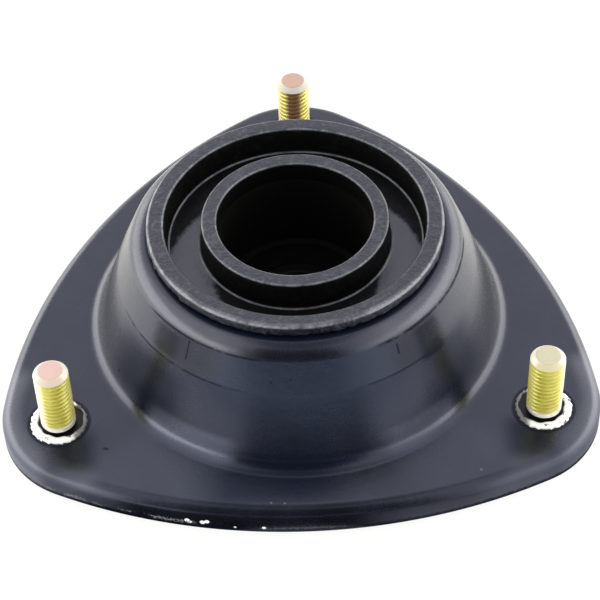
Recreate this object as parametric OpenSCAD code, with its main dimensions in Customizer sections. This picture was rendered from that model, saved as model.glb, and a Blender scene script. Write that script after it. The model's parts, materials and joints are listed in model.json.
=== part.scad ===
// Front suspension strut mount: a pressed steel flange with a conical bell, a bonded rubber
// bush with an annular channel, a bearing cup with a sealed ball bearing, and three studs.
// Millimetres, +Z up along the strut's axis. The origin is the centre of the stud circle, on
// the flange's top face, which seats against the underside of the car's strut tower.

/* [Flange] */
// Diameter of the circle that the studs stand on
stud_pcd = 127.8; // [122:0.2:136]
// Distance from a stud's axis to the rounded corner's edge
stud_edge = 12.3; // [11:0.1:14]
// Radius of each rounded corner
corner_r = 22.7; // [20:0.1:26]
// How far each side bows out from the straight line between two corners
side_bow = 10.4; // [8:0.1:12]
// Depth of the turned-down skirt below the flange's top face
skirt_h = 7; // [6:0.1:10]
// Outer radius of the bend between the flange and its skirt
bend_r = 3; // [2.9:0.1:5]
// Thickness of the pressed steel sheet
sheet_t = 2.6; // [2:0.1:2.8]

/* [Bell] */
// Height of the bell's steel shoulder above the flange
bell_h = 28.6; // [26:0.1:32]
// Slope of the bell's wall, in degrees from the vertical
bell_slope = 20.6; // [17:0.1:23]
// Radius of the hollow where the bell meets the flange
base_fillet_r = 2.5; // [2:0.1:5]
// Radius of the rounded shoulder at the bell's top
shoulder_r = 4.8; // [4:0.1:6]

/* [Rubber bush] */
// Height of the rubber rim's top above the bell's shoulder
rim_h = 3.2; // [2.6:0.1:5]
// Width of the rubber rim
rim_w = 4.05; // [3.6:0.05:5]
// Width of the annular channel at its top
channel_w = 8.5; // [7:0.1:10]
// Depth of the annular channel
channel_h = 6.8; // [5:0.1:9]
// Width of the inner ring's flat top
ring_w = 3.6; // [3.2:0.1:4.5]
// Depth to which the rubber lines the bore above the cup
lining_h = 5; // [3:0.1:7]

/* [Bearing] */
// Outside diameter of the ball bearing
bearing_od = 35; // [34:0.1:37]
// Bore of the ball bearing, which takes the strut's rod
bearing_bore = 15; // [14:0.1:16]
// Width of the ball bearing
bearing_w = 11; // [10.6:0.1:12]
// Diameter of each ball
ball_d = 5.95; // [5.6:0.05:6.1]
// Radial clearance between a ball and each raceway
ball_clear = 0.05; // [0.02:0.01:0.1]

/* [Studs] */
// Outside diameter of the studs' thread
thread_d = 8; // [7:0.5:9]
// Height of each stud above the flange
stud_h = 18.1; // [14:0.1:24]
// Radius of the staked ring round the foot of each stud
stake_r = 6.7; // [6.2:0.1:7]
// Height of the staked ring
stake_h = 0.55; // [0.4:0.05:0.8]
// Number of teeth on the staked ring
stake_teeth = 26; // [16:1:36]

/* [Hidden] */
$fn = 96;
eps = 0.5;
stud_angles = [90, 210, 330];

// Flange outline: three corner arcs joined by three bowed sides
stud_c = stud_pcd / 2;
corner_c = stud_c + stud_edge - corner_r;
side_mid = corner_c / 2 + corner_r + side_bow;
side_q = (pow(corner_c, 2) - pow(corner_c / 2 + side_bow, 2)) / (2 * side_bow);
side_r = side_mid + side_q;
corner_half = atan2(side_q * sin(60), corner_c + side_q * cos(60));
corner_blend = 0.12;

// Bush radii, from the bearing outwards
seat_r = bearing_od / 2;
bush_bore_r = seat_r + 0.4;
ring_r = bush_bore_r + ring_w;
channel_r = ring_r + channel_w;
rim_r = channel_r + rim_w;
neck_r = channel_r + 1.15;
wall_draft = 0.4;
channel_floor_r = 0.8;
rim_round = 0.8;
ring_round = 0.5;
undercut_h = 0.7;
undercut_r = rim_r - 1;

// Bush heights
rim_z = bell_h + rim_h;
channel_z = rim_z - channel_h;
skirt_z = -skirt_h;

// Bell profile: a straight wall between a hollow base and a rounded shoulder
shoulder_c = rim_r - 0.05;
slope_run = tan(bell_slope);
bell_base_r = shoulder_c + (shoulder_r + (bell_h - shoulder_r) * sin(bell_slope)) / cos(bell_slope);

// Bearing cup and its place
cup_r = ring_r - 1.5;
cup_lip_t = 1.8;
cup_lip_r = seat_r - 3;
cup_foot_r = cup_r + 5;
cup_z = skirt_z + 0.4;
cup_top_z = rim_z - lining_h;
cup_bore_r = seat_r + 0.1;
bearing_z0 = cup_z + cup_lip_t;
bearing_z = bearing_z0 + bearing_w / 2;
bearing_z1 = bearing_z0 + bearing_w;
snap_t = 1.5;
snap_groove_r = seat_r + 1;
snap_r = snap_groove_r - 0.1;
snap_w = 2.6;
snap_gap = 34;
seat_top_z = bearing_z1 + snap_t + 2;

// Rubber legs under the channel
leg_t = 6.5;
void_z = channel_z - 14;
skin_z = 2;
skin_t = 5;

// Bearing rings
bore_r = bearing_bore / 2;
pitch_r = (bore_r + seat_r) / 2;
ball_r = ball_d / 2;
groove_r = ball_r + ball_clear;
inner_land_r = pitch_r - 0.3 * ball_d;
outer_land_r = pitch_r + 0.32 * ball_d;
race_round = 0.6;
ball_count = 8;
ball_step = 360 / ball_count;

// Seals
seal_t = 1.1;
seal_sink = 0.2;
seal_r = outer_land_r + 0.9;
seal_lip_r = inner_land_r + 0.25;

// Ribbon cage, in two riveted halves
cage_t = 0.5;
cage_in_r = pitch_r - 1.2;
cage_out_r = pitch_r + 1.2;
pocket_r = ball_r + 0.07;
rivet_r = 0.5;
rivet_head_r = 0.85;
rivet_head_h = 0.35;

// Studs
thread_r = thread_d / 2;
thread_chamfer = 1.2;
neck_hole_r = stake_r + 0.1;
stud_head_r = 8.4;
stud_head_h = 2.6;
head_round = 0.6;
stake_tooth = 0.35;
stake_gap = 0.9;
relief_d = 0.3;
relief_h = stake_h + 0.4;

// A unit vector at an angle
function unit(a) = [cos(a), sin(a)];

// The corner that a rounding of radius r takes off an outer edge at p; (sx, sy) points outwards
module corner_off(p, r, sx, sy) {
    translate(p)
        mirror([sx < 0 ? 1 : 0, 0])
            mirror([0, sy < 0 ? 1 : 0])
                difference() {
                    translate([-r, -r])
                        square(r + eps);
                    translate([-r, -r])
                        circle(r);
                }
}

// The web that a fillet of radius r adds in an inner edge at p; (sx, sy) points into the open
module fillet_in(p, r, sx, sy) {
    translate(p)
        mirror([sx < 0 ? 1 : 0, 0])
            mirror([0, sy < 0 ? 1 : 0])
                difference() {
                    translate([-eps, -eps])
                        square(r + eps);
                    translate([r, r])
                        circle(r);
                }
}

// A rectangle in the profile plane, from corner a to corner b
module block2(a, b) {
    translate(a)
        square([b[0] - a[0], b[1] - a[1]]);
}

// A disc with a rounded upper edge, from z0 up to z1
module round_disc(r, z0, z1, edge) {
    rotate_extrude()
        difference() {
            block2([0, z0], [r, z1]);
            corner_off([r, z1], edge, 1, 1);
        }
}

// The flange's outline as a solid: three bowed sides, and three corners that round off their tips
module flange_body(inset, z0, z1, edge) {
    intersection() {
        intersection_for (a = stud_angles)
            translate(side_q * [cos(a), sin(a), 0])
                round_disc(side_r - inset, z0, z1, edge);
        union() {
            translate([0, 0, z0 - 1])
                linear_extrude(z1 - z0 + 2)
                    polygon([
                        for (a = stud_angles)
                            for (turn = [-1, 0, 1])
                                corner_c * unit(a) + abs(turn) * 2.4 * corner_r * unit(a + turn * corner_half)
                    ]);
            for (a = stud_angles)
                translate((corner_c + corner_blend) * [cos(a), sin(a), 0])
                    round_disc(corner_r - inset, z0, z1, edge);
        }
    }
}

// The bell's half section from the axis out, set in by t from its outer face
module bell_profile(t) {
    fillet = base_fillet_r + t;
    shoulder = shoulder_r - t;
    base = [bell_base_r + base_fillet_r * (1 - sin(bell_slope)) / cos(bell_slope), -t];
    normal = [cos(bell_slope), sin(bell_slope)];
    hollow_c = [base[0], base_fillet_r];
    round_c = [shoulder_c, bell_h - shoulder_r];
    difference() {
        union() {
            polygon([
                [0, -t - 1],
                [base[0], -t - 1],
                base,
                hollow_c - fillet * normal,
                round_c + shoulder * normal,
                round_c + [0, shoulder],
                [0, bell_h - t]
            ]);
            translate(round_c)
                circle(shoulder);
        }
        translate(hollow_c)
            circle(fillet);
    }
}

// Pressed steel flange and bell, in one piece
module housing() {
    color([0.16, 0.17, 0.19])
        difference() {
            union() {
                flange_body(0, skirt_z, 0, bend_r);
                rotate_extrude()
                    bell_profile(0);
            }
            flange_body(sheet_t, skirt_z - 1, -sheet_t, bend_r - sheet_t);
            rotate_extrude()
                bell_profile(sheet_t);
            cylinder(h = bell_h + 1, r = neck_r);
            for (a = stud_angles)
                rotate(a)
                    translate([stud_c, 0, -sheet_t - 1])
                        cylinder(h = sheet_t + 2, r = neck_hole_r);
        }
}

// Half section of the annular channel between the inner ring and the rim
module channel_profile() {
    difference() {
        polygon([
            [ring_r + wall_draft, channel_z],
            [channel_r - wall_draft, channel_z],
            [channel_r - wall_draft, channel_z + channel_floor_r],
            [channel_r, rim_z],
            [channel_r, rim_z + 1],
            [ring_r, rim_z + 1],
            [ring_r, rim_z],
            [ring_r + wall_draft, channel_z + channel_floor_r]
        ]);
        fillet_in([ring_r + wall_draft, channel_z], channel_floor_r, 1, 1);
        fillet_in([channel_r - wall_draft, channel_z], channel_floor_r, -1, 1);
    }
}

// Half section of the hollow under the bush
module void_profile() {
    wall_in = cup_r + leg_t;
    wall_out = bell_base_r - void_z * slope_run - sheet_t / cos(bell_slope) - skin_t;
    low = cup_z - 5;
    crown_r = (wall_out - wall_in - 1) / 2;
    polygon([
        [wall_in, low],
        [wall_out + (void_z - low) * slope_run, low],
        [wall_out, void_z],
        [wall_in + 1, void_z]
    ]);
    translate([wall_in + 1 + crown_r, void_z])
        circle(crown_r);
}

// Rubber bonded between the bell and the bearing cup, with the rim, the channel and the ring
module rubber_bush() {
    color([0.1, 0.1, 0.11])
        rotate_extrude()
            difference() {
                union() {
                    intersection() {
                        bell_profile(sheet_t);
                        block2([cup_r, skin_z], [bell_base_r, bell_h]);
                    }
                    block2([cup_r, bearing_z0], [cup_r + leg_t + 1, skin_z + 1]);
                    block2([cup_r, bell_h - sheet_t - 1], [neck_r, cup_top_z + 1]);
                    block2([bush_bore_r, cup_top_z], [neck_r, rim_z]);
                    block2([neck_r - 1, bell_h], [undercut_r, rim_z]);
                    block2([neck_r, bell_h + undercut_h], [rim_r, rim_z]);
                }
                block2([0, bearing_z0 - 1], [cup_r, cup_top_z]);
                channel_profile();
                void_profile();
                corner_off([rim_r, rim_z], rim_round, 1, 1);
                corner_off([channel_r, rim_z], rim_round, -1, 1);
                corner_off([ring_r, rim_z], ring_round, 1, 1);
                corner_off([bush_bore_r, rim_z], ring_round, -1, 1);
            }
}

// Drawn steel cup that holds the bearing, bonded into the bush
module bearing_cup() {
    color([0.13, 0.13, 0.14])
        rotate_extrude()
            difference() {
                union() {
                    block2([cup_lip_r, cup_z], [cup_r, cup_top_z]);
                    block2([cup_lip_r, cup_z], [cup_foot_r, bearing_z0]);
                }
                block2([0, bearing_z0], [seat_r, cup_top_z + 1]);
                block2([seat_r - 1, bearing_z1], [snap_groove_r, bearing_z1 + snap_t]);
                block2([seat_r - 1, seat_top_z], [cup_bore_r, cup_top_z + 1]);
                corner_off([cup_foot_r, cup_z], head_round, 1, -1);
                corner_off([cup_foot_r, bearing_z0], head_round, 1, 1);
            }
}

// One stud: head under the flange, neck through it, staked toothed ring, relief and threaded shank
module stud() {
    linear_extrude(stake_h)
        difference() {
            polygon([
                for (i = [0 : 2 * stake_teeth - 1])
                    (stake_r - (i % 2) * stake_tooth) * unit(i * 180 / stake_teeth)
            ]);
            circle(thread_r + stake_gap);
        }
    rotate_extrude()
        difference() {
            union() {
                block2([0, -sheet_t - stud_head_h], [stud_head_r, -sheet_t]);
                block2([0, -sheet_t - 1], [neck_hole_r, 0]);
                block2([0, -1], [thread_r, stud_h]);
            }
            corner_off([stud_head_r, -sheet_t - stud_head_h], head_round, 1, -1);
            polygon([
                [thread_r - thread_chamfer, stud_h + eps],
                [thread_r - thread_chamfer, stud_h],
                [thread_r, stud_h - thread_chamfer],
                [thread_r + eps, stud_h - thread_chamfer],
                [thread_r + eps, stud_h + eps]
            ]);
            polygon([
                [thread_r - relief_d, 0],
                [thread_r + eps, 0],
                [thread_r + eps, relief_h + relief_d],
                [thread_r, relief_h + relief_d],
                [thread_r - relief_d, relief_h]
            ]);
        }
}

// The three studs round the stud circle
module studs() {
    color([0.78, 0.66, 0.36])
        for (a = stud_angles)
            rotate(a)
                translate([stud_c, 0, 0])
                    stud();
}

// The raceway that both bearing rings share
module raceway() {
    translate([pitch_r, bearing_z])
        circle(groove_r);
}

// Half section of one seal, in its recess; side is 1 for the upper seal and -1 for the lower
module seal_profile(side) {
    z_out = bearing_z + side * (bearing_w / 2 - seal_sink);
    z_in = z_out - side * seal_t;
    block2([seal_lip_r, min(z_in, z_out)], [seal_r, max(z_in, z_out)]);
}

// Bearing ring that is pressed into the cup
module outer_race() {
    color([0.5, 0.5, 0.52])
        rotate_extrude()
            difference() {
                block2([outer_land_r, bearing_z0], [seat_r, bearing_z1]);
                raceway();
                for (side = [-1, 1]) {
                    z_end = bearing_z + side * bearing_w / 2;
                    z_step = z_end - side * (seal_t + seal_sink);
                    block2([outer_land_r - 1, min(z_end, z_step)], [seal_r, max(z_end, z_step)]);
                    corner_off([seat_r, z_end], race_round, 1, side);
                }
            }
}

// Bearing ring that turns with the strut's rod
module inner_race() {
    color([0.5, 0.5, 0.52])
        rotate_extrude()
            difference() {
                block2([bore_r, bearing_z0], [inner_land_r, bearing_z1]);
                raceway();
                for (side = [-1, 1]) {
                    z_end = bearing_z + side * bearing_w / 2;
                    corner_off([bore_r, z_end], race_round, -1, side);
                    corner_off([inner_land_r, z_end], race_round / 2, 1, side);
                }
            }
}

// Rubber-faced seal in the outer ring, clear of the inner one
module seal(side) {
    color([0.06, 0.06, 0.06])
        rotate_extrude()
            seal_profile(side);
}

// One ball, by its place in the row
module ball(i) {
    color([0.7, 0.7, 0.72])
        rotate((i - 0.5) * ball_step)
            translate([pitch_r, 0, bearing_z])
                sphere(ball_r);
}

// One half of the ribbon cage: flat lands between domed ball pockets
module cage_half(side) {
    color([0.55, 0.53, 0.48])
        translate([0, 0, bearing_z])
            mirror([0, 0, side < 0 ? 1 : 0])
                difference() {
                    intersection() {
                        union() {
                            cylinder(h = cage_t, r = cage_out_r + 1);
                            for (i = [1 : ball_count])
                                rotate((i - 0.5) * ball_step)
                                    translate([pitch_r, 0, 0])
                                        sphere(pocket_r + cage_t);
                        }
                        difference() {
                            cylinder(h = 2 * ball_d, r = cage_out_r);
                            translate([0, 0, -1])
                                cylinder(h = 2 * ball_d + 2, r = cage_in_r);
                        }
                    }
                    for (i = [1 : ball_count]) {
                        rotate((i - 0.5) * ball_step)
                            translate([pitch_r, 0, 0])
                                sphere(pocket_r);
                        rotate(i * ball_step)
                            translate([pitch_r, 0, -1])
                                cylinder(h = cage_t + 2, r = rivet_r);
                    }
                }
}

// The rivets that hold the two cage halves together
module cage_rivets() {
    color([0.6, 0.58, 0.53])
        for (i = [1 : ball_count])
            rotate(i * ball_step)
                translate([pitch_r, 0, bearing_z]) {
                    translate([0, 0, -cage_t - rivet_head_h / 2])
                        cylinder(h = 2 * cage_t + rivet_head_h, r = rivet_r);
                    for (side = [-1, 1])
                        translate([0, 0, side * (cage_t + rivet_head_h / 2)])
                            cylinder(h = rivet_head_h, r = rivet_head_r, center = true);
                }
}

// Spring ring in the cup's groove, open at the front, with a lug at each end
module retaining_ring() {
    lug_r = 1.9;
    lug_hole_r = 0.9;
    lug_c = snap_r - snap_w;
    color([0.1, 0.1, 0.11])
        translate([0, 0, bearing_z1])
            linear_extrude(snap_t)
                difference() {
                    union() {
                        difference() {
                            circle(snap_r);
                            circle(snap_r - snap_w);
                            polygon([
                                [0, 0],
                                2 * snap_r * unit(270 - snap_gap / 2),
                                2 * snap_r * unit(270 + snap_gap / 2)
                            ]);
                        }
                        for (turn = [-1, 1])
                            translate(lug_c * unit(270 + turn * (snap_gap / 2 + 5)))
                                circle(lug_r);
                    }
                    for (turn = [-1, 1])
                        translate(lug_c * unit(270 + turn * (snap_gap / 2 + 5)))
                            circle(lug_hole_r);
                }
}

housing();
rubber_bush();
bearing_cup();
studs();
outer_race();
inner_race();
seal(1);  // upper_seal
seal(-1);  // lower_seal
retaining_ring();
cage_half(1);  // cage_upper
cage_half(-1);  // cage_lower
cage_rivets();
ball(1);  // ball_1
ball(2);  // ball_2
ball(3);  // ball_3
ball(4);  // ball_4
ball(5);  // ball_5
ball(6);  // ball_6
ball(7);  // ball_7
ball(8);  // ball_8
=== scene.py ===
"""Strut mount: looks for the packed model, laid out as an add-on and run as a script."""
import json
import math
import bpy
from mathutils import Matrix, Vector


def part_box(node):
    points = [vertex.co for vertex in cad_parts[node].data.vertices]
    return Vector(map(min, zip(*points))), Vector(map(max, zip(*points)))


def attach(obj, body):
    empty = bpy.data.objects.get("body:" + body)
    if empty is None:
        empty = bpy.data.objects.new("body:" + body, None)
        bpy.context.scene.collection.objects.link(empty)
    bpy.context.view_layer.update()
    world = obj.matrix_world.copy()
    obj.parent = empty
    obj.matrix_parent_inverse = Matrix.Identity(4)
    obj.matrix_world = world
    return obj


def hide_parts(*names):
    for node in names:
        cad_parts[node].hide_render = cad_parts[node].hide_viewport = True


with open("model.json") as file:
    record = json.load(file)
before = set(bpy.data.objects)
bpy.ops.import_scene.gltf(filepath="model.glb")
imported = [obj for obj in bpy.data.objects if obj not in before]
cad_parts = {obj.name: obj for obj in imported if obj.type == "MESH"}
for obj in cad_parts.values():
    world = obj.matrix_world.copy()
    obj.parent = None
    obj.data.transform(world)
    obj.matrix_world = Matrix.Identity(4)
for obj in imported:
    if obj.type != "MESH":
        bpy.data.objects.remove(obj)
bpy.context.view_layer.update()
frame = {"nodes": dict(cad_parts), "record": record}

from types import SimpleNamespace

import bmesh
import bpy
import numpy as np
from bpy.props import FloatProperty, FloatVectorProperty, IntProperty, PointerProperty
from bpy.types import Operator, Panel, PropertyGroup
from mathutils import Matrix, Vector

bl_info = {
    "name": "Strut mount",
    "version": (1, 0, 0),
    "blender": (4, 5, 0),
    "location": "3D View > Sidebar > Strut mount",
    "description": "Builds the visible pieces of a strut mount on its packed frame",
    "category": "Object",
}

MM = 0.001
MOUNTS = {mount["name"]: mount for mount in frame["record"]["mounts"]}
STUD_ANGLES = (90.0, 210.0, 330.0)
STUD_NAMES = ("rear", "left", "right")
ROOT = "mount"


# Sizes and colours that a user would change

class FlangeSizes(PropertyGroup):
    """Sizes of the pressed flange."""

    stud_circle: FloatProperty(
        name="Stud circle", description="Radius of the circle that the studs stand on",
        default=MOUNTS["stud_pattern"]["dims"]["pcd_mm"] / 2 * MM, unit="LENGTH", precision=5)
    stud_edge: FloatProperty(
        name="Stud to edge", description="From a stud's axis to the rounded corner's edge",
        default=12.3 * MM, unit="LENGTH", precision=5)
    corner: FloatProperty(
        name="Corner radius", description="Radius of each rounded corner",
        default=22.7 * MM, unit="LENGTH", precision=5)
    side_bow: FloatProperty(
        name="Side bow", description="How far each side bows out between two corners",
        default=10.4 * MM, unit="LENGTH", precision=5)
    bend: FloatProperty(
        name="Bend radius", description="Outer radius of the bend between flange and skirt",
        default=3.0 * MM, unit="LENGTH", precision=5)
    sheet: FloatProperty(
        name="Sheet", description="Thickness of the pressed sheet",
        default=2.6 * MM, unit="LENGTH", precision=5)
    hole: FloatProperty(
        name="Stud hole", description="Radius of the holes that the stud necks fill",
        default=6.8 * MM, unit="LENGTH", precision=5)


class BellSizes(PropertyGroup):
    """Sizes of the pressed bell."""

    slope: FloatProperty(
        name="Wall slope", description="Slope of the bell's wall from the vertical",
        default=math.radians(20.6), subtype="ANGLE")
    base_fillet: FloatProperty(
        name="Base fillet", description="Radius of the hollow where the bell meets the flange",
        default=3.4 * MM, unit="LENGTH", precision=5)
    shoulder: FloatProperty(
        name="Shoulder radius", description="Radius of the rounded shoulder",
        default=4.8 * MM, unit="LENGTH", precision=5)
    swell: FloatProperty(
        name="Draw crease", description="How far the wall swells out at the crease between two draws",
        default=0.3 * MM, unit="LENGTH", precision=6)


class BushSizes(PropertyGroup):
    """Sizes of the rubber bush."""

    bore: FloatProperty(
        name="Bore", description="Radius of the rubber-lined bore",
        default=17.9 * MM, unit="LENGTH", precision=5)
    ring: FloatProperty(
        name="Ring width", description="Width of the inner ring's flat top",
        default=3.6 * MM, unit="LENGTH", precision=5)
    channel: FloatProperty(
        name="Channel width", description="Width of the annular channel",
        default=8.5 * MM, unit="LENGTH", precision=5)
    channel_depth: FloatProperty(
        name="Channel depth", description="Depth of the annular channel",
        default=6.8 * MM, unit="LENGTH", precision=5)
    rim: FloatProperty(
        name="Rim width", description="Width of the rim",
        default=4.05 * MM, unit="LENGTH", precision=5)


class StudSizes(PropertyGroup):
    """Sizes of the threaded studs."""

    radius: FloatProperty(
        name="Thread radius", description="Outside radius of the thread",
        default=MOUNTS["stud_pattern"]["dims"]["stud_r_mm"] * MM, unit="LENGTH", precision=5)
    pitch: FloatProperty(
        name="Pitch", description="Pitch of the thread",
        default=1.25 * MM, unit="LENGTH", precision=5)
    depth: FloatProperty(
        name="Thread depth", description="Depth of the thread's groove",
        default=0.13 * MM, unit="LENGTH", precision=5)
    stake: FloatProperty(
        name="Staked ring", description="Radius of the bright toothed ring at the stud's foot",
        default=6.7 * MM, unit="LENGTH", precision=5)
    teeth: IntProperty(
        name="Teeth", description="Teeth on the staked ring", default=26)


class FinishColours(PropertyGroup):
    """Colours of the finishes."""

    coat: FloatVectorProperty(
        name="Black coat", description="Dip coat on the pressing", subtype="COLOR", size=3,
        min=0, max=1, default=(0.0030, 0.0036, 0.0070))
    rubber: FloatVectorProperty(
        name="Rubber", description="Moulded rubber of the bush", subtype="COLOR", size=3,
        min=0, max=1, default=(0.003, 0.0032, 0.0037))
    zinc: FloatVectorProperty(
        name="Yellow zinc", description="Passivated zinc on the studs", subtype="COLOR", size=3,
        min=0, max=1, default=(0.86, 0.78, 0.13))
    zinc_pink: FloatVectorProperty(
        name="Zinc blush", description="Pink cast of the zinc on two stud ends", subtype="COLOR", size=3,
        min=0, max=1, default=(0.48, 0.345, 0.32))
    zinc_grey: FloatVectorProperty(
        name="Zinc grey", description="Pale grey of the zinc on the third stud's end",
        subtype="COLOR", size=3, min=0, max=1, default=(0.41, 0.385, 0.29))
    # Painted highlight: the whitish colour of the studs' chamfers
    zinc_chamfer_highlight: FloatVectorProperty(
        name="Zinc pale", description="Whitish zinc on the studs' chamfers", subtype="COLOR", size=3,
        min=0, max=1, default=(0.72, 0.69, 0.61))
    # Painted reflection: the brown on the front of the rear stud, where it faces the dark bell and rubber
    zinc_rear_reflection: FloatVectorProperty(
        name="Zinc mirroring", description="Brown mirroring on the rear stud", subtype="COLOR", size=3,
        min=0, max=1, default=(0.26, 0.13, 0.05))
    bare: FloatVectorProperty(
        name="Bare steel", description="Scraped steel of the staked rings", subtype="COLOR", size=3,
        min=0, max=1, default=(0.95, 0.95, 0.95))


class StageSettings(PropertyGroup):
    """Camera and light."""

    distance: FloatProperty(
        name="Distance", description="Camera to the centre of the stud circle",
        default=477.4 * MM, unit="LENGTH", precision=5)
    elevation: FloatProperty(
        name="Elevation", description="Camera's height angle above the flange",
        default=math.radians(47.171), subtype="ANGLE")
    azimuth: FloatProperty(
        name="Azimuth", description="Camera's turn about the strut's axis",
        default=math.radians(0.757), subtype="ANGLE")
    pitch: FloatProperty(
        name="Pitch", description="How far the camera looks down",
        default=math.radians(46.813), subtype="ANGLE")
    pan: FloatProperty(
        name="Pan", description="How far the camera looks aside",
        default=math.radians(0.074), subtype="ANGLE")
    roll: FloatProperty(
        name="Roll", description="Camera's roll about its own axis",
        default=math.radians(-2.257), subtype="ANGLE")
    lens: FloatProperty(
        name="Lens", description="Focal length on a 36 mm sensor", default=119.7, unit="CAMERA")


SETTINGS = {
    "mount_flange": FlangeSizes,
    "mount_bell": BellSizes,
    "mount_bush": BushSizes,
    "mount_studs": StudSizes,
    "mount_colours": FinishColours,
    "mount_stage": StageSettings,
}


# Profiles and meshes

def arc(centre, radius, start, end, steps):
    """Points of an arc from angle start to angle end, both included."""
    angles = np.radians(np.linspace(start, end, steps))
    return [(centre[0] + radius * math.cos(a), centre[1] + radius * math.sin(a)) for a in angles]


def rounded(corners, steps=7):
    """A closed outline from (x, y, radius) corners, each rounded off by an arc."""
    outline = []
    count = len(corners)
    for i, (x, y, radius) in enumerate(corners):
        here = Vector((x, y))
        if radius <= 0:
            outline.append((x, y))
            continue
        before = (Vector(corners[i - 1][:2]) - here).normalized()
        after = (Vector(corners[(i + 1) % count][:2]) - here).normalized()
        half = before.angle(after) / 2
        centre = here + (before + after).normalized() * (radius / math.sin(half))
        first = here + before * (radius / math.tan(half)) - centre
        last = here + after * (radius / math.tan(half)) - centre
        start = math.atan2(first.y, first.x)
        sweep = (math.atan2(last.y, last.x) - start + math.pi) % (2 * math.pi) - math.pi
        for k in range(steps):
            angle = start + sweep * k / (steps - 1)
            outline.append((centre.x + radius * math.cos(angle), centre.y + radius * math.sin(angle)))
    return outline


def spread(outline, longest):
    """The closed outline with its long straight runs cut into steps no longer than given."""
    dense = []
    for (x0, y0), (x1, y1) in zip(outline, outline[1:] + outline[:1]):
        cuts = max(1, math.ceil(math.hypot(x1 - x0, y1 - y0) / longest))
        dense += [(x0 + (x1 - x0) * k / cuts, y0 + (y1 - y0) * k / cuts) for k in range(cuts)]
    return dense


def closed_grid(name, rows):
    """A mesh object from rings of points, joined ring to ring and last to first."""
    rows = np.asarray(rows, float)
    ring_count, side_count = rows.shape[:2]
    index = np.arange(ring_count * side_count).reshape(ring_count, side_count)
    right, below = np.roll(index, -1, 1), np.roll(index, -1, 0)
    corner = np.roll(right, -1, 0)
    quads = np.stack([index, right, corner, below], -1).reshape(-1, 4)
    return new_piece(name, rows.reshape(-1, 3), quads)


def new_piece(name, points, faces):
    """A linked mesh object with its faces turned outwards."""
    mesh = bpy.data.meshes.new(name)
    mesh.from_pydata([tuple(p) for p in points], [], [tuple(int(i) for i in f) for f in faces])
    shape = bmesh.new()
    shape.from_mesh(mesh)
    bmesh.ops.recalc_face_normals(shape, faces=shape.faces)
    shape.to_mesh(mesh)
    shape.free()
    piece = bpy.data.objects.new(name, mesh)
    bpy.context.scene.collection.objects.link(piece)
    return piece


def full_turn(sides):
    """Angles of a full turn in even steps."""
    return np.linspace(0, 2 * math.pi, sides, endpoint=False)


def ring_row(angles, radius, height):
    """Points round the axis; the radius and the height are one value or one for each angle."""
    level = np.zeros(len(angles)) + height
    return np.column_stack([radius * np.cos(angles), radius * np.sin(angles), level])


def settle(piece, finish, nodes, sharp=40.0):
    """Shades a piece, gives it its finish and seats it on the fixed body."""
    piece.data.shade_smooth()
    piece.data.set_sharp_from_angle(angle=math.radians(sharp))
    piece.data.materials.clear()
    piece.data.materials.append(finish)
    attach(piece, ROOT)
    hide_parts(*nodes)


# Shader sheets

class Value:
    """A shader socket whose arithmetic adds Math nodes to its sheet."""

    def __init__(self, sheet, socket):
        self.sheet = sheet
        self.socket = socket

    def __add__(self, other):
        return self.sheet.sum("ADD", self, other)

    def __sub__(self, other):
        return self.sheet.sum("SUBTRACT", self, other)

    def __mul__(self, other):
        return self.sheet.sum("MULTIPLY", self, other)

    def __pow__(self, other):
        return self.sheet.sum("POWER", self, other)

    def __radd__(self, other):
        return self.sheet.sum("ADD", other, self)

    def __rsub__(self, other):
        return self.sheet.sum("SUBTRACT", other, self)

    def __rmul__(self, other):
        return self.sheet.sum("MULTIPLY", other, self)

    def __abs__(self):
        return self.sheet.sum("ABSOLUTE", self, 0)

    def least(self, other):
        return self.sheet.sum("MINIMUM", self, other)

    def most(self, other):
        return self.sheet.sum("MAXIMUM", self, other)

    def step(self, low, high):
        """0 below low, 1 above high, smooth between; low may be the larger."""
        return self.sheet.add(
            "ShaderNodeMapRange", {"interpolation_type": "SMOOTHSTEP"},
            {"Value": self, "From Min": low, "From Max": high})

    def within(self, low, high, soft):
        """1 between low and high, falling to 0 over soft on either side."""
        return self.step(low - soft, low).least(self.step(high + soft, high))

    def near(self, centre, half):
        """1 at centre, falling to 0 a half-width and a half away."""
        return abs(self - centre).step(1.5 * half, 0.5 * half)

    def sector(self, start, end, soft):
        """1 between two directions in degrees, falling to 0 over soft degrees on either side."""
        return self.within(math.radians(start), math.radians(end), math.radians(soft))


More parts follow.
